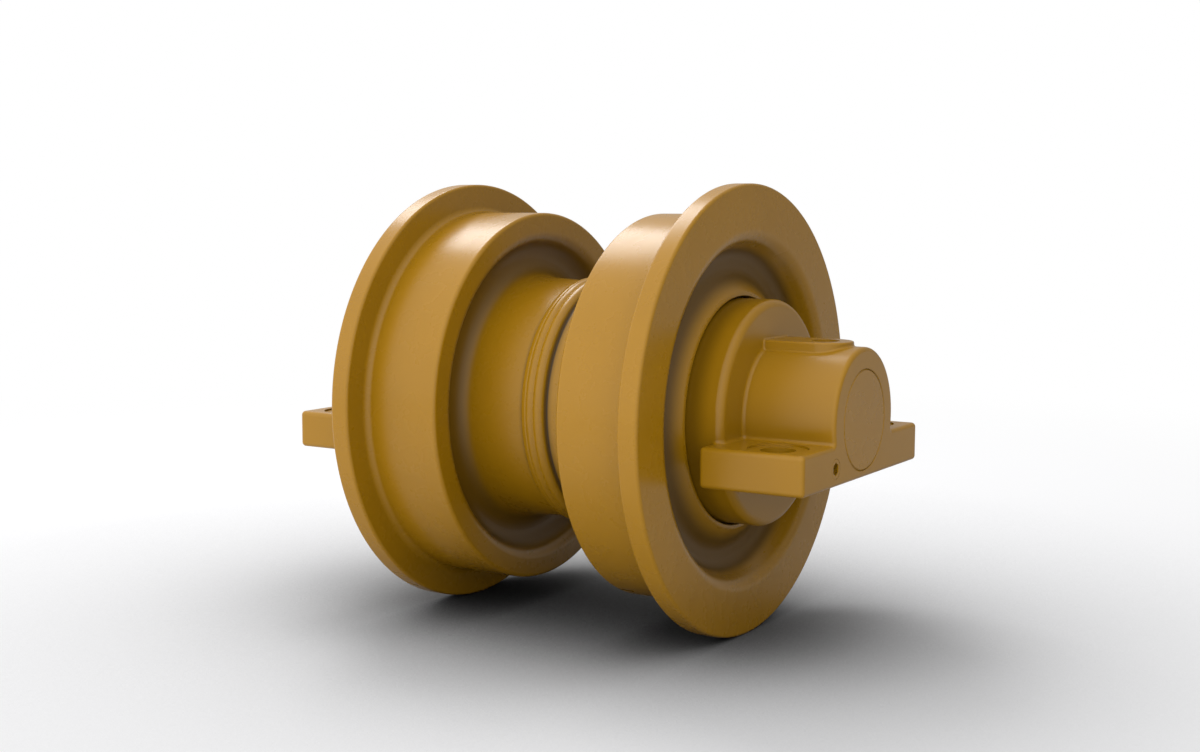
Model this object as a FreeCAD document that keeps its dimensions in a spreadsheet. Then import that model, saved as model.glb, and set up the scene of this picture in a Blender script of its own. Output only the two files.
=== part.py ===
"""Single flange track roller: a two-piece welded shell turning on a pinned shaft between two end collars.

The spin axis is +Y and the origin is the middle of the roller on that axis. Every piece is drawn for
the +Y (back) end. The -Y (front) end is the same piece turned half a turn about Z.
"""
import FreeCAD, Part
import math
import os
import Sketcher

# Driving dimensions, in millimetres

DIMENSIONS = {
    # Rolling surfaces of the shell
    "flange_dia": 300.0,
    "tread_dia": 260.0,
    "tread_start": 46.7,
    "flange_start": 103.4,
    "flange_width": 13.9,
    "rim_edge_round": 2.0,
    "tread_edge_round": 2.5,
    "flange_root_round": 4.5,
    # Waist and inboard recess of the shell
    "waist_dia": 165.6,
    "waist_flat": 14.0,
    "hub_shoulder_dia": 169.0,
    "hub_shoulder_place": 40.0,
    "tread_face_width": 16.4,
    "recess_floor_place": 63.0,
    "recess_wall_share": 0.124,
    "recess_hub_share": 0.058,
    "recess_round_share": 0.395,
    "recess_lip_round": 8.0,
    "waist_round": 20.0,
    # Outboard groove of the shell
    "flange_face_width": 35.7,
    "groove_lip_round": 10.0,
    "groove_floor_place": 95.0,
    "groove_outer_share": 0.73,
    "groove_inner_share": 0.28,
    "groove_round_share": 0.26,
    "mouth_wall": 3.8,
    "mouth_lip_round": 3.0,
    # Bore of the shell
    "cavity_dia": 108.0,
    "cavity_half_length": 18.0,
    "cavity_round": 6.0,
    "bush_start": 26.0,
    "mouth_gap": 1.5,
    "mouth_face_place": 110.0,
    "mouth_step_place": 96.5,
    "mouth_chamfer": 0.6,
    # Friction weld at the middle
    "weld_half_width": 9.6,
    "weld_roll_width": 5.6,
    "weld_roll_height": 3.6,
    "weld_roll_round": 2.3,
    "weld_side_height": 3.0,
    "weld_side_round": 1.5,
    "weld_step_round": 0.6,
    "weld_valley_height": 1.8,
    "weld_crease_height": 2.4,
    "weld_slope": 0.9,
    "inner_weld_half_width": 5.0,
    "inner_weld_height": 2.4,
    "inner_weld_valley_height": 1.0,
    "inner_weld_slope": 1.2,
    "inner_weld_round": 1.0,
    # Shaft
    "shaft_end_dia": 65.2,
    "shaft_journal_dia": 70.0,
    "shaft_relief_dia": 67.0,
    "shaft_relief_half": 22.0,
    "shoulder_place": 84.0,
    "overall_length": 394.8,
    "shaft_chamfer": 1.0,
    # Flanged bushes
    "bush_wall": 5.0,
    "bush_flange_place": 78.0,
    "bush_flange_dia": 94.0,
    "thrust_gap": 0.3,
    "oil_groove_width": 3.0,
    "oil_groove_depth": 1.0,
    "oil_groove_count": 4.0,
    # Face seals
    "seal_plane": 97.5,
    "seal_floor": 83.0,
    "seal_ring_bore_dia": 92.0,
    "seal_ring_dia": 123.0,
    "seal_ring_length": 10.5,
    "seal_rim_width": 4.3,
    "seal_tail_dia": 105.0,
    "seal_band": 4.5,
    "seal_relief": 0.3,
    "seal_root_round": 1.2,
    "seal_tail_round": 0.9,
    "seal_ramp": 0.15,
    "housing_dia": 123.2,
    "toric_place": 9.2,
    "toric_slack": 0.1,
    "seal_film": 0.04,
    # End collars
    "disk_dia": 149.4,
    "disk_inner_face": 98.5,
    "disk_outer_face": 134.0,
    "disk_edge_round": 5.0,
    "disk_inner_round": 1.0,
    "spigot_dia": 86.0,
    "barrel_dia": 93.0,
    "barrel_root_round": 2.5,
    "face_edge_round": 2.8,
    "bore_chamfer": 0.5,
    "ring_groove_place": 92.0,
    "ring_groove_width": 4.8,
    "ring_groove_depth": 3.0,
    "ring_side_gap": 0.45,
    "ring_round": 1.2,
    # Bolting lugs of the collars
    "lug_span": 183.0,
    "lug_top": -11.8,
    "lug_bottom": -37.3,
    "lug_embed": 7.0,
    "lug_corner_round": 3.0,
    "lug_back_round": 2.5,
    "lug_root_round": 2.4,
    "seat_root_round": 10.0,
    "bolt_spacing": 136.8,
    "bolt_setback": 27.7,
    "bolt_hole_dia": 22.0,
    "spotface_dia": 38.0,
    "spotface_depth": 1.2,
    # Lock pins and the pads that hold them
    "pad_width": 36.0,
    "pad_top": 49.4,
    "pad_edge_round": 1.2,
    "pad_root_round": 1.5,
    "pin_dia": 18.0,
    "pin_recess": 3.0,
    "pin_depth": 12.0,
    "pin_chamfer": 1.0,
    # Oil plugs
    "plug_dia": 13.0,
    "plug_length": 11.0,
    "plug_across": 44.0,
    "plug_height": -25.8,
    "plug_edge_round": 0.5,
    "plug_socket": 7.5,
    "plug_socket_depth": 6.0,
    "oil_passage_dia": 8.0,
    # Clearances
    "seat_clearance": 0.02,
    "running_clearance": 0.05,
}

document = FreeCAD.newDocument("track_roller")
sheet = document.addObject("Spreadsheet::Sheet", "dims")
for row, (alias, length) in enumerate(DIMENSIONS.items(), start=1):
    sheet.set("A%d" % row, alias)
    sheet.set("B%d" % row, str(length))
    sheet.setAlias("B%d" % row, alias)
document.recompute()


class Size:
    """A length, held both as a number and as the sheet formula that gives it."""

    def __init__(self, number, formula):
        self.number = number
        self.formula = formula

    @staticmethod
    def of(other):
        return other if isinstance(other, Size) else Size(float(other), repr(float(other)))

    def join(self, other, sign, number):
        return Size(number, "(%s %s %s)" % (self.formula, sign, Size.of(other).formula))

    def __add__(self, other):
        return self.join(other, "+", self.number + Size.of(other).number)

    def __radd__(self, other):
        return Size.of(other) + self

    def __sub__(self, other):
        return self.join(other, "-", self.number - Size.of(other).number)

    def __rsub__(self, other):
        return Size.of(other) - self

    def __mul__(self, other):
        return self.join(other, "*", self.number * Size.of(other).number)

    def __truediv__(self, other):
        return self.join(other, "/", self.number / Size.of(other).number)

    def __neg__(self):
        return Size(-self.number, "(0 - %s)" % self.formula)

    def root(self):
        return Size(math.sqrt(self.number), "sqrt(%s)" % self.formula)


class Dimensions:
    """Gives each driving dimension by its name."""

    def __getattr__(self, alias):
        return Size(DIMENSIONS[alias], "dims." + alias)


d = Dimensions()
ZERO = Size(0.0, "0")
TOUCH = 0.01
FULL_TURN = 360.0


# Sketching

def new_body(label):
    body = document.addObject("PartDesign::Body", label)
    body.Label = label
    return body


def new_sketch(body, name, plane, offset=None):
    """A sketch on one of the body's own planes, moved along the plane's normal by an offset."""
    sketch = body.newObject("Sketcher::SketchObject", body.Label + "_" + name)
    roles = {feature.Role: feature for feature in body.Origin.OriginFeatures}
    sketch.AttachmentSupport = [(roles[plane], "")]
    sketch.MapMode = "FlatFace"
    if offset is not None:
        sketch.setExpression("AttachmentOffset.Base.z", offset.formula)
    return sketch


def bind(sketch, constraint, size):
    """Adds a dimension to the sketch and ties it to the sheet."""
    index = sketch.addConstraint(constraint)
    sketch.setExpression("Constraints[%d]" % index, size.formula)


def place_point(sketch, geometry, point, across, up):
    bind(sketch, Sketcher.Constraint("DistanceX", -1, 1, geometry, point, across.number), across)
    bind(sketch, Sketcher.Constraint("DistanceY", -1, 1, geometry, point, up.number), up)


def vector(across, up):
    return FreeCAD.Vector(across, up, 0)


def rounding(before, corner, after, radius):
    """The arc that rounds a corner: its two tangent points, its centre and its turning sense."""
    incoming = (before - corner).normalize()
    outgoing = (after - corner).normalize()
    half = incoming.getAngle(outgoing) / 2
    reach = radius / math.tan(half)
    middle = (incoming + outgoing).normalize()
    centre = corner + middle * (radius / math.sin(half))
    turns_left = incoming.cross(outgoing).z < 0
    return corner + incoming * reach, corner + outgoing * reach, centre, turns_left


def arc_between(centre, start, end):
    """The arc about a centre that runs anticlockwise from one point to another."""
    radius = (start - centre).Length
    circle = Part.Circle(centre, FreeCAD.Vector(0, 0, 1), radius)
    first = math.atan2(start.y - centre.y, start.x - centre.x)
    last = math.atan2(end.y - centre.y, end.x - centre.x)
    if last < first:
        last += 2 * math.pi
    return Part.ArcOfCircle(circle, first, last)


def outline(sketch, corners):
    """A closed outline of straight runs. A corner is (across, up) or (across, up, rounding radius)."""
    corners = [tuple(Size.of(value) for value in corner) for corner in corners]
    count = len(corners)
    spots = [vector(corner[0].number, corner[1].number) for corner in corners]
    rounds = [None] * count
    for i, corner in enumerate(corners):
        if len(corner) == 3:
            rounds[i] = rounding(spots[i - 1], spots[i], spots[(i + 1) % count], corner[2].number)
    lines = []
    for i in range(count):
        after = (i + 1) % count
        start = rounds[i][1] if rounds[i] else spots[i]
        end = rounds[after][0] if rounds[after] else spots[after]
        lines.append(sketch.addGeometry(Part.LineSegment(start, end), False))
    for i, corner in enumerate(corners):
        before, after = lines[i - 1], lines[i]
        if rounds[i] is None:
            sketch.addConstraint(Sketcher.Constraint("Coincident", before, 2, after, 1))
            place_point(sketch, after, 1, corner[0], corner[1])
            continue
        arrive, leave, centre, turns_left = rounds[i]
        ends = (arrive, leave) if turns_left else (leave, arrive)
        arc = sketch.addGeometry(arc_between(centre, *ends), False)
        first, last = (1, 2) if turns_left else (2, 1)
        sketch.addConstraint(Sketcher.Constraint("Tangent", before, 2, arc, first))
        sketch.addConstraint(Sketcher.Constraint("Tangent", after, 1, arc, last))
        bind(sketch, Sketcher.Constraint("Radius", arc, corner[2].number), corner[2])
        tip = sketch.addGeometry(Part.Point(spots[i]), True)
        sketch.addConstraint(Sketcher.Constraint("PointOnObject", tip, 1, before))
        sketch.addConstraint(Sketcher.Constraint("PointOnObject", tip, 1, after))
        place_point(sketch, tip, 1, corner[0], corner[1])


def circle(sketch, across, up, radius):
    across, up = Size.of(across), Size.of(up)
    centre = vector(across.number, up.number)
    ring = sketch.addGeometry(Part.Circle(centre, FreeCAD.Vector(0, 0, 1), radius.number), False)
    place_point(sketch, ring, 3, across, up)
    bind(sketch, Sketcher.Constraint("Radius", ring, radius.number), radius)


# Features

def turned(body, name, corners):
    """Revolves an outline of (along the axis, radius) corners about Y."""
    sketch = new_sketch(body, name + "_outline", "YZ_Plane")
    outline(sketch, corners)
    return revolve(body, name, sketch, "PartDesign::Revolution")


def revolve(body, name, sketch, kind):
    feature = body.newObject(kind, body.Label + "_" + name)
    feature.Profile = (sketch, [""])
    feature.ReferenceAxis = (sketch, ["H_Axis"])
    feature.Angle = FULL_TURN
    body.Tip = feature
    document.recompute()
    return feature


def bored(body, name, corners):
    """Turns away the outline from the inside of a body."""
    sketch = new_sketch(body, name + "_outline", "YZ_Plane")
    outline(sketch, corners)
    before = body.Shape.Volume
    revolve(body, name, sketch, "PartDesign::Groove")
    require(body.Shape.Volume < before, body.Label + " " + name + " removed nothing")


def raised(body, name, sketch, length, both_ways=False):
    feature = body.newObject("PartDesign::Pad", body.Label + "_" + name)
    feature.Profile = (sketch, [""])
    feature.setExpression("Length", length.formula)
    feature.Midplane = both_ways
    body.Tip = feature
    document.recompute()
    return feature


def cut(body, name, sketch, length, backwards=False, both_ways=False):
    before = body.Shape.Volume
    feature = body.newObject("PartDesign::Pocket", body.Label + "_" + name)
    feature.Profile = (sketch, [""])
    feature.setExpression("Length", length.formula)
    feature.Reversed = backwards
    feature.Midplane = both_ways
    body.Tip = feature
    document.recompute()
    require(body.Shape.Volume < before - 1e-6, body.Label + " " + name + " removed nothing")
    return feature


def rounded(body, name, radius, wanted):
    """Rounds the edges of the body that the test picks."""
    base = body.Tip
    edges = ["Edge%d" % (i + 1) for i, edge in enumerate(base.Shape.Edges) if wanted(edge)]
    require(edges, body.Label + " " + name + " found no edge")
    feature = body.newObject("PartDesign::Fillet", body.Label + "_" + name)
    feature.Base = (base, edges)
    feature.setExpression("Radius", radius.formula)
    body.Tip = feature
    document.recompute()
    return feature


def require(condition, message):
    if not condition:
        raise RuntimeError(message)


def lies_in(edge, axis, place):
    """True for an edge that lies in the plane where one coordinate has the given value."""
    box = edge.BoundBox
    low = (box.XMin, box.YMin, box.ZMin)[axis]
    high = (box.XMax, box.YMax, box.ZMax)[axis]
    return abs(low - place.number) < TOUCH and abs(high - place.number) < TOUCH


# Pieces of the shell

def shell_half(label):
    """One forged half: tread, guiding flange, waist, seal housing and bush bore in one turned outline."""
    body = new_body(label)
    flange_face = d.flange_start + d.flange_width
    housing = d.housing_dia / 2
    mouth_bore = d.disk_dia / 2 + d.mouth_gap
    mouth_lip = mouth_bore + d.mouth_wall
    groove_lip = d.flange_dia / 2 - d.flange_face_width
    groove_width = groove_lip - mouth_lip
    groove_round = groove_width * d.groove_round_share
    shoulder = d.hub_shoulder_dia / 2
    recess_lip = d.tread_dia / 2 - d.tread_face_width
    recess_width = recess_lip - shoulder
    recess_round = recess_width * d.recess_round_share
    turned(body, "forging", [
        (ZERO, d.cavity_dia / 2),
        (d.cavity_half_length, d.cavity_dia / 2, d.cavity_round),
        (d.bush_start, bush_radius()),
        (d.bush_flange_place, bush_radius()),
        (d.bush_flange_place, flange_pocket_radius()),
        (d.seal_floor, flange_pocket_radius()),
        (d.seal_floor, housing),
        (d.mouth_step_place, housing + (d.mouth_step_place - d.seal_floor) * d.seal_ramp),
        (d.mouth_step_place, mouth_bore),
        (d.mouth_face_place - d.mouth_chamfer, mouth_bore),
        (d.mouth_face_place, mouth_bore + d.mouth_chamfer),
        (d.mouth_face_place, mouth_lip, d.mouth_lip_round),
        (d.groove_floor_place, mouth_lip + groove_width * d.groove_inner_share, groove_round),
        (d.groove_floor_place, mouth_lip + groove_width * d.groove_outer_share, groove_round),
        (flange_face, groove_lip, d.groove_lip_round),
        (flange_face, d.flange_dia / 2, d.rim_edge_round),
        (d.flange_start, d.flange_dia / 2, d.rim_edge_round),
        (d.flange_start, d.tread_dia / 2, d.flange_root_round),
        (d.tread_start, d.tread_dia / 2, d.tread_edge_round),
        (d.tread_start, recess_lip, d.recess_lip_round),
        (d.recess_floor_place, recess_lip - recess_width * d.recess_wall_share, recess_round),
        (d.recess_floor_place, shoulder + recess_width * d.recess_hub_share, recess_round),
        (d.hub_shoulder_place, shoulder, d.waist_round),
        (d.waist_flat, d.waist_dia / 2),
        (ZERO, d.waist_dia / 2),
    ])
    return body


def bush_radius():
    return d.shaft_journal_dia / 2 + d.running_clearance + d.bush_wall + d.seat_clearance


def flange_pocket_radius():
    return d.bush_flange_dia / 2 + d.seat_clearance


def weld_bead(label):
    """The ring that the friction weld pushed out round the waist: two rolls, each with a lower side roll."""
    body = new_body(label)
    base = d.waist_dia / 2
    crest = base + d.weld_roll_height
    side = base + d.weld_side_height
    edge = d.weld_roll_width
    bead = [
        (ZERO, base + d.weld_valley_height),
        (d.weld_slope, crest, d.weld_roll_round),
        (edge - d.weld_slope, crest, d.weld_roll_round),
        (edge, base + d.weld_crease_height),
        (edge + d.weld_slope, side, d.weld_step_round),
        (d.weld_half_width, side, d.weld_side_round),
        (d.weld_half_width, base),
    ]
    mirrored = [(-corner[0],) + corner[1:] for corner in reversed(bead[1:])]
    turned(body, "bead", mirrored + bead)
    return body


def inner_weld_bead(label):
    """The matching ring inside the oil cavity."""
    body = new_body(label)
    base = d.cavity_dia / 2
    crest = base - d.inner_weld_height
    end = d.inner_weld_half_width
    half = [
        (ZERO, base - d.inner_weld_valley_height),
        (d.inner_weld_slope, crest, d.inner_weld_round),
        (end - d.inner_weld_slope, crest, d.inner_weld_round),
        (end, base),
    ]
    mirrored = [(-corner[0],) + corner[1:] for corner in reversed(half[1:])]
    turned(body, "bead", mirrored + half)
    return body


def bush(label):
    """A flanged sleeve, pressed in the shell. Its flange takes the side thrust."""
    body = new_body(label)
    inside = d.shaft_journal_dia / 2 + d.running_clearance
    outside = inside + d.bush_wall
    thrust_face = d.shoulder_place - d.thrust_gap
    turned(body, "sleeve", [
        (d.bush_start + d.bush_wall / 2, inside),
        (thrust_face, inside, d.oil_groove_depth),
        (thrust_face, d.bush_flange_dia / 2, d.oil_groove_depth),
        (d.bush_flange_place, d.bush_flange_dia / 2),
        (d.bush_flange_place, outside),
        (d.bush_start + d.bush_wall / 2, outside, d.oil_groove_depth),
    ])
    sketch = new_sketch(body, "thrust_groove_outline", "XZ_Plane", -thrust_face)
    half_width = d.oil_groove_width / 2
    reach = d.bush_flange_dia / 2 - d.bush_wall / 2
    outline(sketch, [
        (-half_width, ZERO),
        (half_width, ZERO),
        (half_width, reach),
        (-half_width, reach),
    ])
    groove = cut(body, "thrust_groove", sketch, d.oil_groove_depth, backwards=True)
    sketch = new_sketch(body, "bore_groove_outline", "XZ_Plane", -d.bush_start)
    outline(sketch, [
        (-half_width, ZERO),
        (half_width, ZERO),
        (half_width, inside + d.oil_groove_depth),
        (-half_width, inside + d.oil_groove_depth),
    ])
    channel = cut(body, "bore_groove", sketch, d.shoulder_place - d.bush_start)
    pattern = body.newObject("PartDesign::PolarPattern", label + "_grooves")
    pattern.Originals = [groove, channel]
    roles = {feature.Role: feature for feature in body.Origin.OriginFeatures}
    pattern.Axis = (roles["Y_Axis"], [""])
    pattern.Angle = FULL_TURN
    pattern.setExpression("Occurrences", d.oil_groove_count.formula)
    body.Tip = pattern
    document.recompute()
    return body


# Face seals

def seal_ring(label):
    """A hardened ring with a lapped band on its face and a cone behind it for the rubber ring."""
    body = new_body(label)
    face = d.seal_plane - d.seal_film / 2
    tail = face - d.seal_ring_length
    rim = face - d.seal_rim_width
    outside = d.seal_ring_dia / 2
    inside = d.seal_ring_bore_dia / 2
    tail_radius = d.seal_tail_dia / 2
    turned(body, "ring", [
        (tail, inside, d.seal_relief),
        (face - d.seal_relief, inside),
        (face, outside - d.seal_band),
        (face, outside, d.seal_relief),
        (rim, outside, d.seal_relief),
        (rim, tail_radius + (rim - tail) * d.seal_ramp, d.seal_root_round),
        (tail, tail_radius, d.seal_tail_round),
    ])
    return body


def toric_ring(label):
    """The rubber ring squeezed between the cones of the seal ring and of its housing."""
    body = new_body(label)
    place = d.seal_plane - d.toric_place
    tail = d.seal_plane - d.seal_ring_length
    cone = d.seal_tail_dia / 2 + (place - tail) * d.seal_ramp
    housing = d.housing_dia / 2 + (place - d.seal_floor) * d.seal_ramp
    sketch = new_sketch(body, "section", "YZ_Plane")
    circle(sketch, place, (cone + housing) / 2, (housing - cone) / 2 - d.toric_slack)
    revolve(body, "ring", sketch, "PartDesign::Revolution")
    return body


# Shaft, collars and what locks and seals them

def bolt_place():
    """The bolts and the lock pin stand in one line, set back from the end."""
    return d.overall_length / 2 - d.bolt_setback


def lug_start():
    return d.disk_outer_face - d.lug_embed


def shaft(label):
    """One shaft for both ends: journals in the middle, smaller ends in the collars, pin holes on top."""
    body = new_body(label)
    end = d.overall_length / 2
    small = d.shaft_end_dia / 2
    large = d.shaft_journal_dia / 2
    relief = d.shaft_relief_dia / 2
    step = large - relief
    half = [
        (d.shaft_relief_half, relief),
        (d.shaft_relief_half + step, large),
        (d.shoulder_place, large),
        (d.shoulder_place, small),
        (end - d.shaft_chamfer, small),
        (end, small - d.shaft_chamfer),
    ]
    mirrored = [(-corner[0], corner[1]) for corner in reversed(half)]
    turned(body, "bar", [(-end, ZERO)] + mirrored + half + [(end, ZERO)])
    for side, place in (("back", bolt_place()), ("front", -bolt_place())):
        sketch = new_sketch(body, side + "_pin_hole_outline", "XY_Plane", -d.pin_depth)
        circle(sketch, ZERO, place, d.pin_dia / 2 + d.seat_clearance)
        cut(body, side + "_pin_hole", sketch, d.shaft_end_dia, backwards=True)
    return body


def collar(label):
    """The cast end collar: sealing disk, shaft barrel, two bolting lugs and the lock pin's pad."""
    body = new_body(label)
    end = d.overall_length / 2
    collar_lugs(body, end)
    collar_turning(body, end)
    collar_seat(body, end)
    collar_pad(body)
    collar_roundings(body, end)
    collar_bore(body, end)
    collar_holes(body, end)
    return body


def collar_lugs(body, end):
    """One bar across the barrel gives both lugs. Its back edges are rounded before the disk joins it."""
    sketch = new_sketch(body, "lug_outline", "XZ_Plane", -end)
    outline(sketch, [
        (-d.lug_span / 2, d.lug_bottom, d.lug_corner_round),
        (d.lug_span / 2, d.lug_bottom, d.lug_corner_round),
        (d.lug_span / 2, d.lug_top, d.lug_corner_round),
        (-d.lug_span / 2, d.lug_top, d.lug_corner_round),
    ])
    raised(body, "lugs", sketch, end - lug_start())
    rounded(body, "lug_back", d.lug_back_round, lambda edge: lies_in(edge, 1, lug_start()))


def collar_turning(body, end):
    """The round parts: a spigot inside the seal, the disk with its seal housing, and the barrel."""
    housing_floor = d.seal_plane * 2 - d.seal_floor
    housing = d.housing_dia / 2
    turned(body, "disk", [
        (d.shoulder_place, ZERO),
        (d.shoulder_place, d.spigot_dia / 2, d.disk_inner_round),
        (housing_floor, d.spigot_dia / 2),
        (housing_floor, housing),
        (d.disk_inner_face, housing + (housing_floor - d.disk_inner_face) * d.seal_ramp),
        (d.disk_inner_face, d.disk_dia / 2, d.disk_inner_round),
        (d.disk_outer_face, d.disk_dia / 2, d.disk_edge_round),
        (d.disk_outer_face, d.barrel_dia / 2, d.barrel_root_round),
        (end, d.barrel_dia / 2),
        (end, ZERO),
    ])


def collar_seat(body, end):
    """The flat seat cut across the underside, with a hollow that runs up the disk's face to it."""
    sketch = new_sketch(body, "seat_outline", "YZ_Plane")
    below = -d.barrel_dia
    outline(sketch, [
        (d.disk_outer_face, below),
        (end + d.barrel_dia, below),
        (end + d.barrel_dia, d.lug_bottom),
        (d.disk_outer_face, d.lug_bottom),
    ])
    cut(body, "seat", sketch, d.lug_span, both_ways=True)
    sketch = new_sketch(body, "seat_root_outline", "YZ_Plane")
    hollow_root(sketch, d.disk_outer_face, d.lug_bottom, d.seat_root_round, d.disk_inner_round)
    face_radius = d.disk_dia / 2 - d.disk_edge_round
    drop = d.lug_bottom - d.seat_root_round
    raised(body, "seat_root", sketch, (face_radius * face_radius - drop * drop).root() * 2, both_ways=True)


def hollow_root(sketch, place, level, radius, embed):
    """A corner fill under a level and beyond a face, with a hollow round, sunk a little into both."""
    left, right = (place - embed).number, (place + radius).number
    top, low = (level + embed).number, (level - radius).number
    spots = [vector(right, level.number), vector(right, top), vector(left, top), vector(left, low),
             vector(place.number, low)]
    lines = [sketch.addGeometry(Part.LineSegment(a, b), False) for a, b in zip(spots, spots[1:])]
    centre = vector(right, low)
    arc = sketch.addGeometry(arc_between(centre, spots[0], spots[-1]), False)
    for before, after in zip(lines, lines[1:]):
        sketch.addConstraint(Sketcher.Constraint("Coincident", before, 2, after, 1))
    sketch.addConstraint(Sketcher.Constraint("Coincident", arc, 1, lines[0], 1))
    sketch.addConstraint(Sketcher.Constraint("Coincident", arc, 2, lines[-1], 2))
    place_point(sketch, lines[0], 1, place + radius, level)
    place_point(sketch, lines[1], 1, place + radius, level + embed)
    place_point(sketch, lines[2], 1, place - embed, level + embed)
    place_point(sketch, lines[3], 1, place - embed, level - radius)
    place_point(sketch, lines[3], 2, place, level - radius)
    bind(sketch, Sketcher.Constraint("Radius", arc, radius.number), radius)


def collar_pad(body):
    """The flat pad on top of the barrel, round at its outer end about the lock pin."""
    sketch = new_sketch(body, "pad_outline", "XY_Plane")
    half = d.pad_width / 2
    start = d.disk_outer_face - d.disk_edge_round
    across, begin, middle = half.number, start.number, bolt_place().number
    base = sketch.addGeometry(Part.LineSegment(vector(-across, begin), vector(across, begin)), False)
    right = sketch.addGeometry(Part.LineSegment(vector(across, begin), vector(across, middle)), False)
    left = sketch.addGeometry(Part.LineSegment(vector(-across, middle), vector(-across, begin)), False)
    nose = arc_between(vector(0, middle), vector(across, middle), vector(-across, middle))
    nose = sketch.addGeometry(nose, False)
    sketch.addConstraint(Sketcher.Constraint("Coincident", base, 2, right, 1))
    sketch.addConstraint(Sketcher.Constraint("Tangent", right, 2, nose, 1))
    sketch.addConstraint(Sketcher.Constraint("Tangent", nose, 2, left, 1))
    sketch.addConstraint(Sketcher.Constraint("Coincident", left, 2, base, 1))
    place_point(sketch, base, 1, -half, start)
    place_point(sketch, base, 2, half, start)
    place_point(sketch, nose, 3, ZERO, bolt_place())
    raised(body, "pad", sketch, d.pad_top)


def collar_roundings(body, end):
    """The cast roundings: lug roots, outer face, and the pad's rim and root."""
    disk = d.disk_dia.number / 2
    half_pad = d.pad_width.number / 2
    barrel = d.barrel_dia.number / 2
    beyond_lugs = lug_start().number + d.lug_back_round.number / 2
    above_barrel = math.sqrt(barrel * barrel - half_pad * half_pad) - d.pad_root_round.number

    def along_lug_root(edge):
        box = edge.BoundBox
        inside_disk = max(-box.XMin, box.XMax) < disk
        return lies_in(edge, 2, d.lug_top) and inside_disk and box.YMin > beyond_lugs \
            and not lies_in(edge, 1, end)

    def along_pad_rim(edge):
        return lies_in(edge, 2, d.pad_top) and not lies_in(edge, 1, d.disk_outer_face)

    def along_pad_root(edge):
        box = edge.BoundBox
        if box.XMin < -half_pad - TOUCH or box.XMax > half_pad + TOUCH or box.ZMin < above_barrel:
            return False
        if lies_in(edge, 1, d.disk_outer_face):
            return box.ZMax < d.pad_top.number + TOUCH
        on_pad = abs(max(-box.XMin, box.XMax) - half_pad) < TOUCH
        upright = box.YLength < TOUCH
        return on_pad and not upright and box.ZMax < barrel + TOUCH

    rounded(body, "lug_root", d.lug_root_round, along_lug_root)
    rounded(body, "outer_face", d.face_edge_round, lambda edge: lies_in(edge, 1, end))
    rounded(body, "pad_rim", d.pad_edge_round, along_pad_rim)
    rounded(body, "pad_root", d.pad_root_round, along_pad_root)


def collar_bore(body, end):
    """The bore for the shaft's end, with the groove for its rubber ring."""
    bore = d.shaft_end_dia / 2 + d.seat_clearance
    groove_end = d.ring_groove_place + d.ring_groove_width
    bored(body, "bore", [
        (d.shoulder_place - d.bore_chamfer, ZERO),
        (d.shoulder_place - d.bore_chamfer, bore),
        (d.ring_groove_place, bore),
        (d.ring_groove_place, bore + d.ring_groove_depth),
        (groove_end, bore + d.ring_groove_depth),
        (groove_end, bore),
        (end - d.bore_chamfer, bore),
        (end + d.bore_chamfer, bore + d.bore_chamfer * 2),
        (end + d.bore_chamfer, ZERO),
    ])


def collar_holes(body, end):
    """Bolt holes with spotfaces, the lock pin's hole, and the oil passage with its plug's seat."""
    for side, across in (("left", -d.bolt_spacing / 2), ("right", d.bolt_spacing / 2)):
        sketch = new_sketch(body, side + "_bolt_outline", "XY_Plane")
        circle(sketch, across, bolt_place(), d.bolt_hole_dia / 2)
        cut(body, side + "_bolt_hole", sketch, d.lug_span, both_ways=True)
        floor = d.lug_top - d.spotface_depth
        sketch = new_sketch(body, side + "_spotface_outline", "XY_Plane", floor)
        circle(sketch, across, bolt_place(), d.spotface_dia / 2)
        cut(body, side + "_spotface", sketch, d.spotface_dia, backwards=True)
    sketch = new_sketch(body, "pin_hole_outline", "XY_Plane")
    circle(sketch, ZERO, bolt_place(), d.pin_dia / 2 + d.seat_clearance)
    cut(body, "pin_hole", sketch, d.barrel_dia, backwards=True)
    sketch = new_sketch(body, "plug_seat_outline", "XZ_Plane", -end)
    circle(sketch, d.plug_across, d.plug_height, d.plug_dia / 2 + d.seat_clearance)
    cut(body, "plug_seat", sketch, d.plug_length, backwards=True)
    sketch = new_sketch(body, "oil_passage_outline", "XZ_Plane", -end)
    circle(sketch, d.plug_across, d.plug_height, d.oil_passage_dia / 2)
    cut(body, "oil_passage", sketch, end - d.disk_inner_face, backwards=True)


def collar_ring(label):
    """The rubber ring in the collar's bore, squeezed flat against the shaft."""
    body = new_body(label)
    inside = d.shaft_end_dia / 2 + d.seat_clearance
    outside = inside + d.ring_groove_depth - d.seat_clearance
    start = d.ring_groove_place + d.ring_side_gap
    end = d.ring_groove_place + d.ring_groove_width - d.ring_side_gap
    turned(body, "ring", [
        (start, inside, d.ring_round),
        (end, inside, d.ring_round),
        (end, outside, d.ring_round),
        (start, outside, d.ring_round),
    ])
    return body


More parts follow.
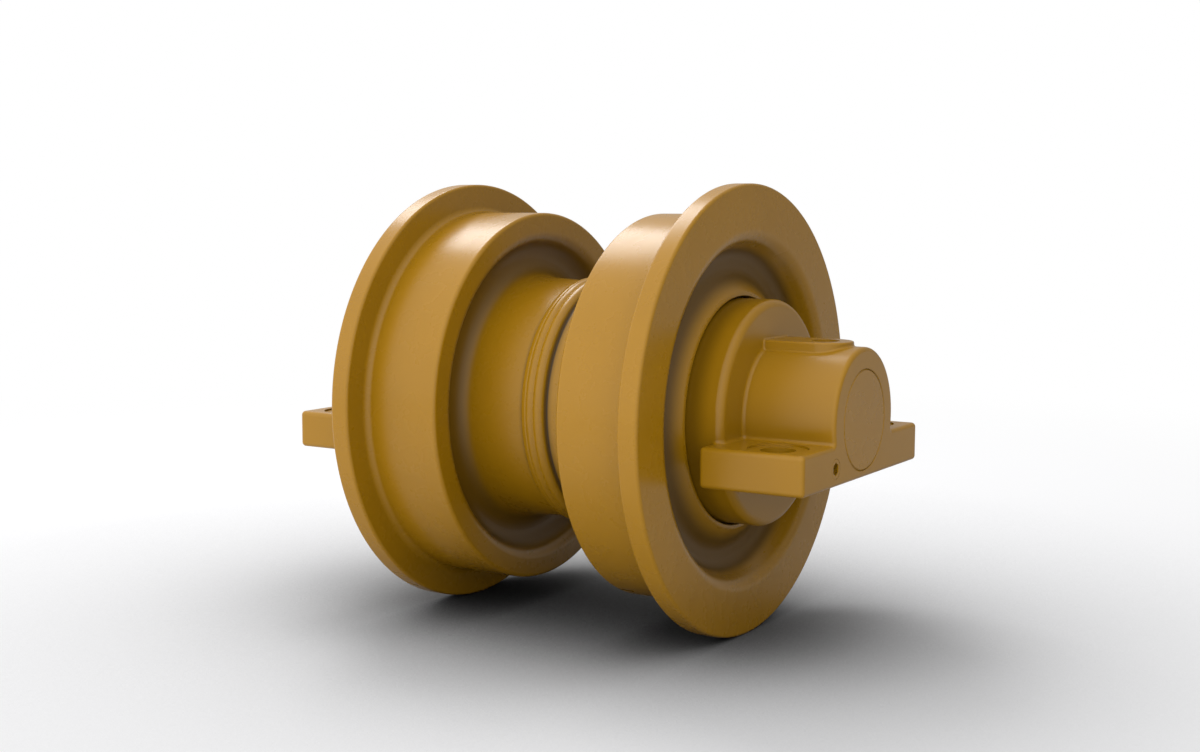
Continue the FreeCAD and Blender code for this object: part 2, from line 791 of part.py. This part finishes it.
def lock_pin(label):
    """The pin that goes down through the pad and barrel into the shaft, and stops it turning."""
    body = new_body(label)
    sketch = new_sketch(body, "outline", "YZ_Plane")
    foot = -d.pin_depth + d.seat_clearance
    head = d.pad_top - d.pin_recess
    outline(sketch, [
        (bolt_place(), foot),
        (bolt_place() + d.pin_dia / 2 - d.pin_chamfer, foot),
        (bolt_place() + d.pin_dia / 2, foot + d.pin_chamfer),
        (bolt_place() + d.pin_dia / 2, head - d.pin_chamfer),
        (bolt_place() + d.pin_dia / 2 - d.pin_chamfer, head),
        (bolt_place(), head),
    ])
    feature = body.newObject("PartDesign::Revolution", label + "_pin")
    feature.Profile = (sketch, [""])
    feature.ReferenceAxis = (sketch, ["Edge6"])
    feature.Angle = FULL_TURN
    body.Tip = feature
    document.recompute()
    return body


def oil_plug(label):
    """The screwed plug of the oil passage, flush with the collar's face, with a hexagon socket."""
    body = new_body(label)
    end = d.overall_length / 2
    sketch = new_sketch(body, "outline", "XZ_Plane", -end)
    circle(sketch, d.plug_across, d.plug_height, d.plug_dia / 2)
    raised(body, "stem", sketch, d.plug_length - d.seat_clearance)
    rounded(body, "stem_edge", d.plug_edge_round, lambda edge: lies_in(edge, 1, end))
    sketch = new_sketch(body, "socket_outline", "XZ_Plane", -end)
    sides = 6
    corner = d.plug_socket / (math.cos(math.pi / sides) * 2)
    corners = []
    for step in range(sides):
        angle = 2 * math.pi * (step + 1 / 2) / sides
        across = d.plug_across + corner * math.cos(angle)
        corners.append((across, d.plug_height + corner * math.sin(angle)))
    outline(sketch, corners)
    cut(body, "socket", sketch, d.plug_socket_depth, backwards=True)
    return body


# Placing

def turn_half(body, shift=None):
    """Turns a piece half a turn about Z, and moves it along Y by an optional shift."""
    body.Placement = FreeCAD.Placement(FreeCAD.Vector(0, 0, 0), FreeCAD.Rotation(FULL_TURN / 2, 0, 0))
    if shift is not None:
        body.setExpression("Placement.Base.y", shift.formula)


def place_ends(make, name):
    """The same piece at both ends."""
    make("back_" + name)
    turn_half(make("front_" + name))


def place_seal(make, name):
    """Each end has the piece twice, face to face across the sealing plane."""
    make("back_turning_" + name)
    turn_half(make("back_fixed_" + name), d.seal_plane * 2)
    turn_half(make("front_turning_" + name))
    fixed = make("front_fixed_" + name)
    fixed.setExpression("Placement.Base.y", (-(d.seal_plane * 2)).formula)


place_ends(shell_half, "shell_half")
weld_bead("weld_bead")
inner_weld_bead("inner_weld_bead")
place_ends(bush, "bush")
place_seal(seal_ring, "seal_ring")
place_seal(toric_ring, "toric_ring")
shaft("shaft")
place_ends(collar, "collar")
place_ends(collar_ring, "collar_ring")
place_ends(lock_pin, "lock_pin")
place_ends(oil_plug, "oil_plug")
document.recompute()

# Checks, then one file for each piece

for item in document.Objects:
    faults = [state for state in item.State if state in ("Invalid", "Error")]
    require(not faults, item.Label + " is " + ", ".join(faults))

bodies = [item for item in document.Objects if item.TypeId == "PartDesign::Body"]
for body in bodies:
    require(not body.Shape.isNull(), body.Label + " has no shape")
    require(body.Shape.isValid(), body.Label + " is not valid")
    require(len(body.Shape.Solids) == 1, body.Label + " is not one solid")

os.makedirs("parts", exist_ok=True)
for body in bodies:
    body.Shape.exportStep("parts/%s.step" % body.Label)
print("%d pieces written" % len(bodies))
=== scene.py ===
"""A single flange track roller, standing on its two flanges on a pale studio floor.

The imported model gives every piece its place: the roller spins about Y, and the origin is its middle on
that axis. Lengths are in metres. The front end is the one with the nearer collar, on the minus Y side.
"""

import math

import bpy
from mathutils import Matrix, Vector


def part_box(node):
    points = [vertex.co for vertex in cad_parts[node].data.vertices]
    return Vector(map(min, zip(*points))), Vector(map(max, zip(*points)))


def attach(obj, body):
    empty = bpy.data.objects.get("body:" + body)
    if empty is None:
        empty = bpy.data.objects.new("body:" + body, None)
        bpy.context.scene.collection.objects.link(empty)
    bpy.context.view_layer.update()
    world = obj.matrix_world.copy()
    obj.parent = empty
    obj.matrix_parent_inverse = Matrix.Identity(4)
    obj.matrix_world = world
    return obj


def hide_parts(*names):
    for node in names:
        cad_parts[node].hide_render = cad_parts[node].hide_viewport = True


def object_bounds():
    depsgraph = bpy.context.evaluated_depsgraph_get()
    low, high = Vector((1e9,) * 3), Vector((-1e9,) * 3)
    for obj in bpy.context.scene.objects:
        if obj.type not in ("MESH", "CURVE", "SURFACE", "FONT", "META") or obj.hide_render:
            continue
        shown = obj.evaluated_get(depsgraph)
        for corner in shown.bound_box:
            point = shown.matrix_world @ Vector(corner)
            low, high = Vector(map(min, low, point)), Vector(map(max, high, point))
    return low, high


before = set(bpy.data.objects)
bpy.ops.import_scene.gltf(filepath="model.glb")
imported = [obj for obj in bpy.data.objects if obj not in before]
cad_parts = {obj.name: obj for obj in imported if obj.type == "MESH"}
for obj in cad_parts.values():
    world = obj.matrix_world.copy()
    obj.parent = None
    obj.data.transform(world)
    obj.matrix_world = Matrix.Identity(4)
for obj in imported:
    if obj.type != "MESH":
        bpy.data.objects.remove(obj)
cad_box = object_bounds()

# The shell is two steel forgings, turned all over and friction welded at the middle. Each has a tread, a
# guiding flange at its outer end, a recess inboard, a groove outboard, and the housing of the face seal.
# After welding the whole shell is sprayed in one ochre enamel.

flange_face, flange_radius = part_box("back_shell_half")[1].yz
flange_width = 0.0139
flange_back = flange_face - flange_width
tread_start, tread_radius = 0.0467, 0.130
tread_rim, groove_rim = 0.1116, 0.1143
recess_floor, recess_top, recess_bottom = 0.0602, 0.1066, 0.0860
groove_floor, groove_top, groove_bottom = 0.099, 0.1045, 0.0920
mouth_face, mouth_lip, mouth_bore, mouth_step = 0.1092, 0.0785, 0.0762, 0.0965
mouth_chamfer = 0.0004
seal_floor, seal_housing, seal_taper = 0.083, 0.0616, 0.002
bush_start, bush_end, bush_seat, bush_flange_seat = 0.026, 0.078, 0.04007, 0.04702
cavity_end, cavity_radius = 0.018, 0.054
hub_end, hub_radius = 0.040, 0.0843
waist_end, waist_radius = 0.014, 0.0828

# Each corner is (place along the axis, radius) and the radius of its rounding, if it has one.
shell_outline = [
    (0, cavity_radius),
    (cavity_end, cavity_radius, 0.006),
    (bush_start, bush_seat),
    (bush_end, bush_seat),
    (bush_end, bush_flange_seat),
    (seal_floor, bush_flange_seat),
    (seal_floor, seal_housing),
    (mouth_step, seal_housing + seal_taper),
    (mouth_step, mouth_bore),
    (mouth_face - mouth_chamfer, mouth_bore),
    (mouth_face, mouth_bore + mouth_chamfer),
    (mouth_face, mouth_lip, 0.004),
    (groove_floor, groove_bottom, 0.010),
    (groove_floor, groove_top, 0.0085),
    (flange_face, groove_rim, 0.010),
    (flange_face, flange_radius, 0.002),
    (flange_back, flange_radius, 0.002),
    (flange_back, tread_radius, 0.0045),
    (tread_start, tread_radius, 0.0025),
    (tread_start, tread_rim, 0.008),
    (recess_floor, recess_top, 0.0122),
    (recess_floor, recess_bottom, 0.0124),
    (hub_end, hub_radius, 0.020),
    (waist_end, waist_radius),
    (0, waist_radius),
]


def lathe():
    """A tree that rounds the corners of an outline and turns it about the spin axis."""
    tree = bpy.data.node_groups.new("lathe", "GeometryNodeTree")
    for label, kind in (("Outline", "Geometry"), ("Turning Radius", "Float"), ("Steps Round", "Int"),
                        ("Steps In Corner", "Int"), ("Sharp Edge", "Float"), ("Finish", "Material")):
        tree.interface.new_socket(label, in_out="INPUT", socket_type="NodeSocket" + kind)
    tree.interface.new_socket("Piece", in_out="OUTPUT", socket_type="NodeSocketGeometry")
    sizes = tree.nodes.new("NodeGroupInput").outputs

    def add(kind, settings, sockets):
        node = tree.nodes.new(kind)
        for name, value in settings.items():
            setattr(node, name, value)
        for name, value in sockets.items():
            if isinstance(value, bpy.types.NodeSocket):
                tree.links.new(value, node.inputs[name])
            else:
                node.inputs[name].default_value = value
        return node.outputs

    rounding = add("GeometryNodeInputNamedAttribute", {"data_type": "FLOAT"}, {"Name": "rounding"})
    line = add("GeometryNodeMeshToCurve", {}, {"Mesh": sizes["Outline"]})
    rounded = add("GeometryNodeFilletCurve", {"mode": "POLY"},
                  {"Curve": line["Curve"], "Count": sizes["Steps In Corner"],
                   "Radius": rounding["Attribute"]})
    circle = add("GeometryNodeCurvePrimitiveCircle", {},
                 {"Resolution": sizes["Steps Round"], "Radius": sizes["Turning Radius"]})
    turned = add("GeometryNodeCurveToMesh", {},
                 {"Curve": circle["Curve"], "Profile Curve": rounded["Curve"]})
    laid = add("GeometryNodeTransform", {},
               {"Geometry": turned["Mesh"], "Rotation": (math.pi / 2, 0, 0)})
    joined = add("GeometryNodeMergeByDistance", {}, {"Geometry": laid["Geometry"], "Distance": 1e-6})
    bend = add("GeometryNodeInputMeshEdgeAngle", {}, {})
    soft = add("FunctionNodeCompare", {"data_type": "FLOAT", "operation": "LESS_THAN"},
               {"A": bend["Unsigned Angle"], "B": sizes["Sharp Edge"]})
    faces = add("GeometryNodeSetShadeSmooth", {},
                {"Geometry": joined["Geometry"], "Shade Smooth": True})
    edges = add("GeometryNodeSetShadeSmooth", {"domain": "EDGE"},
                {"Geometry": faces["Geometry"], "Shade Smooth": soft["Result"]})
    real = add("GeometryNodeRealizeInstances", {}, {"Geometry": edges["Geometry"]})
    finished = add("GeometryNodeSetMaterial", {},
                   {"Geometry": real["Geometry"], "Material": sizes["Finish"]})
    tree.links.new(finished["Geometry"], tree.nodes.new("NodeGroupOutput").inputs["Piece"])
    return tree


turning = lathe()
lathe_inputs = {item.name: item.identifier for item in turning.interface.items_tree
                if item.in_out == "INPUT"}


def turned_piece(name, outline, finish, mirrored=False, steps=288, corner_steps=7, middle=0.1,
                 sharp_edge=math.radians(28)):
    """Turns one closed outline into a solid ring, on the minus Y side if it is mirrored."""
    side = -1 if mirrored else 1
    corners = [tuple(corner) + (0,) * (3 - len(corner)) for corner in outline[::side]]
    drawn = bpy.data.meshes.new(name + "_outline")
    drawn.from_pydata([(radius - middle, along * side, 0) for along, radius, _ in corners],
                      [(i, (i + 1) % len(corners)) for i in range(len(corners))], [])
    rounding = drawn.attributes.new("rounding", "FLOAT", "POINT")
    rounding.data.foreach_set("value", [corner[2] for corner in corners])
    blank = bpy.data.objects.new(name + "_blank", drawn)
    bpy.context.scene.collection.objects.link(blank)
    cutting = blank.modifiers.new("lathe", "NODES")
    cutting.node_group = turning
    for label, value in (("Turning Radius", middle), ("Steps Round", steps),
                         ("Steps In Corner", corner_steps), ("Sharp Edge", sharp_edge), ("Finish", finish)):
        cutting[lathe_inputs[label]] = value
    even = blank.modifiers.new("even_shading", "WEIGHTED_NORMAL")
    even.keep_sharp = True
    seen = blank.evaluated_get(bpy.context.evaluated_depsgraph_get())
    piece = bpy.data.objects.new(name, bpy.data.meshes.new_from_object(seen))
    bpy.context.scene.collection.objects.link(piece)
    bpy.data.objects.remove(blank)
    return piece


class Signal:
    """One output of a node. Sums, products and powers of signals add their own Math nodes."""

    def __init__(self, recipe, socket):
        self.recipe = recipe
        self.socket = socket

    def maths(self, operation, *others):
        terms = dict(enumerate((self,) + others))
        return self.recipe.add("ShaderNodeMath", {"operation": operation}, terms)

    def __add__(self, other):
        return self.maths("ADD", other)

    def __sub__(self, other):
        return self.maths("SUBTRACT", other)

    def __rsub__(self, other):
        return self * -1.0 + other

    def __mul__(self, other):
        return self.maths("MULTIPLY", other)

    def __pow__(self, other):
        return self.maths("POWER", other)

    __radd__ = __add__
    __rmul__ = __mul__

    def step(self, start, end):
        """Nought up to start, one from end on, and smooth between them."""
        return self.recipe.add("ShaderNodeMapRange", {"interpolation_type": "SMOOTHSTEP"},
                               {"Value": self, "From Min": start, "From Max": end})

    def band(self, start, full, fading, end):
        """One from full to fading, and nought before start and after end."""
        return self.step(start, full) * (1.0 - self.step(fading, end))


class Recipe:
    """The nodes of one finish, of the floor or of the room's light."""

    def __init__(self, owner):
        owner.use_nodes = True
        self.owner = owner
        self.tree = owner.node_tree
        self.tree.nodes.clear()

    def add(self, kind, settings=None, sockets=None, out=0):
        """Adds a node: its settings first, then values or links for its sockets. Gives one output."""
        node = self.tree.nodes.new(kind)
        for name, value in (settings or {}).items():
            setattr(node, name, value)
        for key, value in (sockets or {}).items():
            if isinstance(value, Signal):
                self.tree.links.new(value.socket, node.inputs[key])
            else:
                node.inputs[key].default_value = value
        return Signal(self, node.outputs[out]) if len(node.outputs) else None

    def spot(self):
        return self.add("ShaderNodeTexCoord", out="Object")

    def noise(self, vector, scale, detail=2.0):
        return self.add("ShaderNodeTexNoise", {},
                        {"Vector": vector, "Scale": scale, "Detail": detail}, "Fac")

    def mix(self, factor, first, second):
        return self.add("ShaderNodeMix", {"data_type": "RGBA"}, {0: factor, 6: first, 7: second}, 2)

    def bump(self, height, distance):
        return self.add("ShaderNodeBump", {}, {"Distance": distance, "Height": height})

    def stretched(self, vector, stretch):
        return self.add("ShaderNodeVectorMath", {"operation": "MULTIPLY"}, {0: vector, 1: stretch})

    def axis(self, vector, letter):
        return self.add("ShaderNodeSeparateXYZ", {}, {0: vector}, letter)

    def along(self, vector):
        """How far a point is from the middle plane, along the spin axis."""
        return self.axis(vector, "Y").maths("ABSOLUTE")

    def from_axis(self, vector):
        """The distance of a point from the spin axis."""
        flat = self.stretched(vector, (1, 0, 1))
        return self.add("ShaderNodeVectorMath", {"operation": "LENGTH"}, {0: flat}, "Value")

    def shader(self, sockets):
        surface = self.add("ShaderNodeBsdfPrincipled", {}, sockets)
        self.add("ShaderNodeOutputMaterial", {}, {"Surface": surface})
        return self.owner


def screen(*levels):
    """A colour as a screen shows it, 0 to 255, turned into the light that makes it."""
    shares = [level / 255 for level in levels]
    return tuple(v / 12.92 if v <= 0.04045 else ((v + 0.055) / 1.055) ** 2.4 for v in shares) + (1.0,)


black, white = screen(0, 0, 0), screen(255, 255, 255)


def enamel(paint, spot, thin=screen(185, 133, 15), thick=screen(180, 129, 12)):
    """Colour, gloss and skin of the sprayed ochre: clouded where the coat is thicker, with orange peel.

    As painted shade, its colour is darkened for light that bounces off it, so that paint throws little
    light onto paint."""
    cloud = paint.noise(spot, 9.0, 3.0)
    colour = paint.mix(cloud.step(0.35, 0.65), thin, thick)
    second_bounce = paint.add("ShaderNodeLightPath", out="Is Diffuse Ray")
    colour = paint.mix(0.85 * second_bounce, colour, black)
    haze = paint.noise(spot, 60.0, 4.0)
    peel = paint.noise(spot, 700.0)
    return colour, 0.25 + 0.05 * haze, peel


def shell_paint(name, shade_in_hollows):
    """The enamel, painted darker and duller in the recesses, where light hardly reaches: painted shade."""
    paint = Recipe(bpy.data.materials.new(name))
    spot = paint.spot()
    colour, gloss, peel = enamel(paint, spot)
    painted_shade = shade_in_hollows(paint, spot)
    return paint.shader({"Base Color": paint.mix(painted_shade, colour, black),
                         "Roughness": gloss + 0.3 * painted_shade, "Normal": paint.bump(peel, 0.000006)})


# Painted shade: the shell's enamel is painted darker in the inboard recess and the outboard groove, and on
# the waist beside the weld bead.
def shell_painted_shade(paint, spot):
    along, out = paint.along(spot), paint.from_axis(spot)
    between_rims = out.band(0.078, 0.082, 0.113, 0.118)
    recess = along.band(0.049, 0.058, 0.070, 0.080)
    groove = along.band(0.085, 0.090, 0.1015, 0.1090)
    waist = 1.0 - out.step(0.083, 0.085)
    contact, beside_it = 1.0 - along.step(0.0094, 0.0108), 1.0 - along.step(0.0095, 0.0140)
    return between_rims * (0.5 * recess + 0.65 * groove) + waist * (0.5 * contact + 0.4 * beside_it)


shell_enamel = shell_paint("shell_enamel", shell_painted_shade)
for end in ("front", "back"):
    shell = turned_piece(end + "_shell", shell_outline, shell_enamel, mirrored=end == "front")
    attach(shell, "roller_shell")
    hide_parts(end + "_shell_half")

# The bead is the steel that the friction weld pressed out round the waist: two rolls with a crease between
# them, which curl down to the waist, and a lower side roll at the back. It is left as it came, and painted.

roll_round, roll_place, roll_height = 0.0057, 0.0030, 0.0036
side_end, side_place, side_height = 0.0064, 0.0098, 0.0024
back_contact, front_contact = 0.0090, -0.0088


def roll(place, first, last, steps=14):
    """The round of one roll, from one slope to another, in degrees from its top."""
    top = waist_radius + roll_height
    slopes = [math.radians(first + (last - first) * step / steps) for step in range(steps + 1)]
    return [(place + roll_round * math.sin(slope), top - roll_round * (1 - math.cos(slope)))
            for slope in slopes]


# The two rolls meet in a crease at a slope of 31.8 degrees.
bead_outline = [
    (back_contact, waist_radius),
    (side_place, waist_radius + side_height, 0.0012),
    (side_end, waist_radius + 0.0031, 0.0008),
    *roll(roll_place, 26, -31.8),
    *roll(-roll_place, 31.8, -60)[1:],
    (front_contact, waist_radius),
]


# Painted shade: the bead's enamel is painted darker low on its rolls, where they curl down to the waist.
def bead_painted_shade(paint, spot):
    return 0.75 * (1.0 - paint.from_axis(spot).step(waist_radius + 0.0004, waist_radius + 0.0019))


bead = turned_piece("weld_bead_ring", bead_outline, shell_paint("bead_enamel", bead_painted_shade), steps=240)
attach(bead, "roller_shell")
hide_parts("weld_bead")


# Inside the oil cavity the same weld pressed out a second bead. It stays as bare steel, blued by the heat
# and wet with oil.

def dress(material, *names):
    """Gives the model's own solids a finish."""
    for name in names:
        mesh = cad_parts[name].data
        mesh.materials.clear()
        mesh.materials.append(material)


scale = Recipe(bpy.data.materials.new("heat_scale"))
spot = scale.spot()
bare_steel, blued_steel = screen(112, 106, 104), screen(74, 70, 84)
colour = scale.mix(scale.noise(spot, 45.0, 4.0).step(0.35, 0.7), bare_steel, blued_steel)
dress(scale.shader({"Base Color": colour, "Metallic": 0.85,
                    "Roughness": 0.3 + 0.2 * scale.noise(spot, 160.0),
                    "Normal": scale.bump(scale.noise(spot, 240.0, 4.0), 0.0001)}), "inner_weld_bead")

# The flanged bushes are cast tin bronze, pressed in the shell halves and bored in line. Fine turning marks
# run round the bore and across the thrust face.

bronze = Recipe(bpy.data.materials.new("bush_bronze"))
spot = bronze.spot()
rings = bronze.noise(bronze.stretched(spot, (2, 900, 2)), 1.0)
fresh_bronze, dull_bronze = screen(186, 146, 92), screen(165, 122, 72)
colour = bronze.mix(bronze.noise(spot, 25.0, 4.0).step(0.3, 0.7), fresh_bronze, dull_bronze)
dress(bronze.shader({"Base Color": colour, "Metallic": 1.0, "Roughness": 0.28 + 0.14 * rings,
                     "Normal": bronze.bump(rings, 0.00002)}), "front_bush", "back_bush")

# The shaft is one ground steel bar. Its journals stay bright in the oil, and its two end faces are sprayed
# with the rest of the roller.

bar = Recipe(bpy.data.materials.new("shaft_steel"))
spot = bar.spot()
journal_end, paint_start = 0.1955, 0.1958
end_face = bar.along(spot).step(journal_end, paint_start)
paint_colour, paint_gloss, peel = enamel(bar, spot)
grinding = bar.noise(bar.stretched(spot, (3, 1400, 3)), 1.0)
ground_steel = bar.mix(grinding, screen(176, 177, 179), screen(150, 151, 154))
colour = bar.mix(end_face, ground_steel, paint_colour)
dress(bar.shader({"Base Color": colour, "Metallic": 1.0 - end_face,
                  "Roughness": end_face * paint_gloss + (1.0 - end_face) * (0.16 + 0.12 * grinding),
                  "Normal": bar.bump(end_face * peel + (1.0 - end_face) * grinding, 0.00002)}), "shaft")

# The face seal rings are hard white iron, cast and then lapped to a mirror on the band where each pair
# meets. Away from the band the casting is dull grey.

iron = Recipe(bpy.data.materials.new("seal_iron"))
spot = iron.spot()
casting_edge, lapped_edge = 0.0568, 0.0571
lapped = iron.from_axis(spot).step(casting_edge, lapped_edge)
grain = iron.noise(spot, 900.0, 3.0)
cast_grey = iron.mix(grain, screen(104, 104, 106), screen(126, 126, 127))
colour = iron.mix(lapped, cast_grey, screen(190, 190, 192))
dress(iron.shader({"Base Color": colour, "Metallic": 1.0,
                   "Roughness": 0.42 - 0.3 * lapped + 0.1 * grain,
                   "Normal": iron.bump(grain, 0.00003)}),
      *(f"{end}_{part}_seal_ring" for end in ("front", "back") for part in ("turning", "fixed")))

# The toric rings behind the seal rings and the rings in the collars' bores are moulded nitrile rubber:
# black, matt, and dusted a little grey by talc.

rubber = Recipe(bpy.data.materials.new("nitrile_rubber"))
spot = rubber.spot()
talc = rubber.noise(spot, 120.0, 5.0).step(0.55, 0.8)
colour = rubber.mix(talc, screen(26, 26, 27), screen(58, 58, 58))
dress(rubber.shader({"Base Color": colour, "Roughness": 0.55 + 0.2 * talc, "Specular IOR Level": 0.4,
                     "Normal": rubber.bump(rubber.noise(spot, 1500.0), 0.00002)}),
      *(f"{end}_{part}_toric_ring" for end in ("front", "back") for part in ("turning", "fixed")),
      "front_collar_ring", "back_collar_ring")

# Each end collar is a steel casting, shot blasted and machined on its faces, seat and holes: a sealing
# disk, the shaft's barrel, two bolting lugs and the lock pin's pad. The enamel leaves a trace of the
# blasted skin. Where the collar sits in the shell's mouth, its colour is painted darker as painted shade.

casting = Recipe(bpy.data.materials.new("collar_enamel"))
spot = casting.spot()
colour, gloss, peel = enamel(casting, spot)
blasted = casting.noise(spot, 260.0, 4.0)
mouth_edge, clear_of_mouth = 0.112, 0.126
# Painted shade: the collar's colour is painted darker where it sits in the shell's mouth.
mouth_painted_shade = 1.0 - casting.along(spot).step(mouth_edge, clear_of_mouth)
colour = casting.mix(0.4 * mouth_painted_shade, colour, black)
dress(casting.shader({"Base Color": colour, "Roughness": gloss + 0.03 * blasted,
                      "Normal": casting.bump(0.5 * peel + blasted, 0.00003)}),
      "front_collar", "back_collar")

# The lock pins are drawn steel, driven down through the pads into the shaft until their heads are below
# the pad, then sprayed over. Only the head shows.

pin = Recipe(bpy.data.materials.new("pin_enamel"))
spot = pin.spot()
shank_end, head_start = 0.0440, 0.0445
head = pin.axis(spot, "Z").step(shank_end, head_start)
paint_colour, paint_gloss, peel = enamel(pin, spot)
drawn = pin.noise(pin.stretched(spot, (900, 900, 12)), 1.0)
drawn_steel = pin.mix(drawn, screen(150, 150, 152), screen(120, 120, 123))
colour = pin.mix(head, drawn_steel, paint_colour)
dress(pin.shader({"Base Color": colour, "Metallic": 1.0 - head,
                  "Roughness": head * paint_gloss + (1.0 - head) * (0.25 + 0.2 * drawn),
                  "Normal": pin.bump(head * peel + (1.0 - head) * drawn, 0.00002)}),
      "front_lock_pin", "back_lock_pin")

# An oil plug with a hexagon socket closes the filling hole in each collar's outer face. It is steel,
# screwed in flush and painted with the collar, and the wrench has rubbed its socket.

plug = Recipe(bpy.data.materials.new("plug_enamel"))
spot = plug.spot()
colour, gloss, peel = enamel(plug, spot)
socket_wall, plug_face = 0.1962, 0.1970
in_socket = 1.0 - plug.along(spot).step(socket_wall, plug_face)
rubbed = in_socket * plug.noise(spot, 700.0, 3.0).step(0.45, 0.6)
colour = plug.mix(0.6 * rubbed, colour, screen(66, 58, 44))
dress(plug.shader({"Base Color": colour, "Metallic": 0.5 * rubbed, "Roughness": gloss + 0.15 * rubbed,
                   "Normal": plug.bump(peel, 0.00002)}), "front_oil_plug", "back_oil_plug")

# The studio floor is a pale matt sheet under the two flanges. It fades into the white room a little way
# off. It takes the roller's shadow, deepened near the roller by a painted shadow. For light that bounces
# off it, it is painted lighter on the left.

floor_reach, floor_sides = 9.0, 64
floor_level = cad_box[0].z
sheet = bpy.data.meshes.new("studio_floor")
turns = [math.tau * step / floor_sides for step in range(floor_sides)]
sheet.from_pydata([(floor_reach * math.cos(turn), floor_reach * math.sin(turn), floor_level)
                   for turn in turns], [], [range(floor_sides)])
floor = bpy.data.objects.new("studio_floor", sheet)
bpy.context.scene.collection.objects.link(floor)


def share_of_backdrop(recipe, in_reflections=0.25):
    """How far a ray meets the white backdrop: in full from the camera and through glass."""
    seen = recipe.add("ShaderNodeLightPath", out="Is Camera Ray")
    mirrored = recipe.add("ShaderNodeLightPath", out="Is Glossy Ray")
    refracted = recipe.add("ShaderNodeLightPath", out="Is Transmission Ray")
    return (seen + refracted).maths("MAXIMUM", in_reflections * mirrored)


def towards(recipe, place, direction):
    """How far a place lies in a direction from the roller's middle."""
    return recipe.add("ShaderNodeVectorMath", {"operation": "DOT_PRODUCT"},
                      {0: place, 1: direction}, "Value")


pale = Recipe(bpy.data.materials.new("pale_floor"))
spot = pale.spot()
shown = share_of_backdrop(pale)
away = pale.add("ShaderNodeVectorMath", {"operation": "LENGTH"}, {0: spot}, "Value")
# Painted shadow: near the roller the floor's colour is painted darker, most in front of it, by an occlusion
# that looks back and up.
open_sky = pale.add("ShaderNodeAmbientOcclusion", {"samples": 8},
                    {"Distance": 0.5, "Normal": (0.30, 0.15, 0.94)}, "AO")
# Painted light: for light bouncing off the floor, its colour is painted lighter on the left side and darker
# on the right.
painted_lit_side = towards(pale, spot, (-0.85, 0.45, 0)).step(-0.6, 0.5)
bounced = pale.mix(painted_lit_side, (0.22, 0.22, 0.22, 1), (0.95, 0.95, 0.95, 1))
tone = pale.mix(shown, bounced, (0.97, 0.97, 0.98, 1))
shaded = pale.mix(open_sky ** 1.4, (0.03, 0.03, 0.03, 1), tone)
matt = pale.add("ShaderNodeBsdfDiffuse", {}, {"Color": shaded})
clear = pale.add("ShaderNodeEmission", {}, {"Color": white, "Strength": 1.0})
blend = pale.add("ShaderNodeMixShader", {}, {0: away.step(0.35, 1.5) * shown, 1: matt, 2: clear})
pale.add("ShaderNodeOutputMaterial", {}, {"Surface": blend})
sheet.materials.append(pale.owner)

# The light is a white room, brighter on the left, and one soft box above and behind the roller. The
# camera sees the room as plain white.

room = Recipe(bpy.data.worlds.new("white_room"))
bpy.context.scene.world = room.owner
direction = room.add("ShaderNodeTexCoord", out="Generated")
glow = 0.10 + 1.08 * towards(room, direction, (-0.85, 0.45, 0.20)).step(-1.0, 0.75)
shown = share_of_backdrop(room)
strength = shown + (1.0 - shown) * glow
backdrop = room.add("ShaderNodeBackground", {}, {"Color": white, "Strength": strength})
room.add("ShaderNodeOutputWorld", {}, {"Surface": backdrop})

lamp_distance = 1.6
lamp = bpy.data.lights.new("soft_box", "AREA")
lamp.shape = "SQUARE"
lamp.size = 0.65
lamp.energy = 7.3
soft_box = bpy.data.objects.new("soft_box", lamp)
soft_box.location = Vector((0.36, 0.52, 0.78)).normalized() * lamp_distance
soft_box.rotation_euler = (-soft_box.location).to_track_quat("-Z", "Y").to_euler()
bpy.context.scene.collection.objects.link(soft_box)

# The picture is taken from the front left, a little above the spin axis, with a short portrait lens.

viewpoint = (-0.9616, -0.5971, 0.1363)
azimuth, elevation, tilt = (math.radians(angle) for angle in (-58.112, 6.031, 0.14))
backward = Vector((math.sin(azimuth) * math.cos(elevation), -math.cos(azimuth) * math.cos(elevation),
                   math.sin(elevation)))
level_right = Vector((math.cos(azimuth), math.sin(azimuth), 0))
level_up = backward.cross(level_right)
right = level_right * math.cos(tilt) + level_up * math.sin(tilt)
up = level_up * math.cos(tilt) - level_right * math.sin(tilt)
lens = bpy.data.cameras.new("portrait_lens")
lens.sensor_width, lens.lens, lens.clip_start = 36, 48.83, 0.01
camera = bpy.data.objects.new("camera", lens)
turned = Matrix((right, up, backward)).transposed().to_4x4()
camera.matrix_world = Matrix.Translation(viewpoint) @ turned
bpy.context.scene.collection.objects.link(camera)
bpy.context.scene.camera = camera
bpy.context.scene.view_settings.view_transform = "Standard"
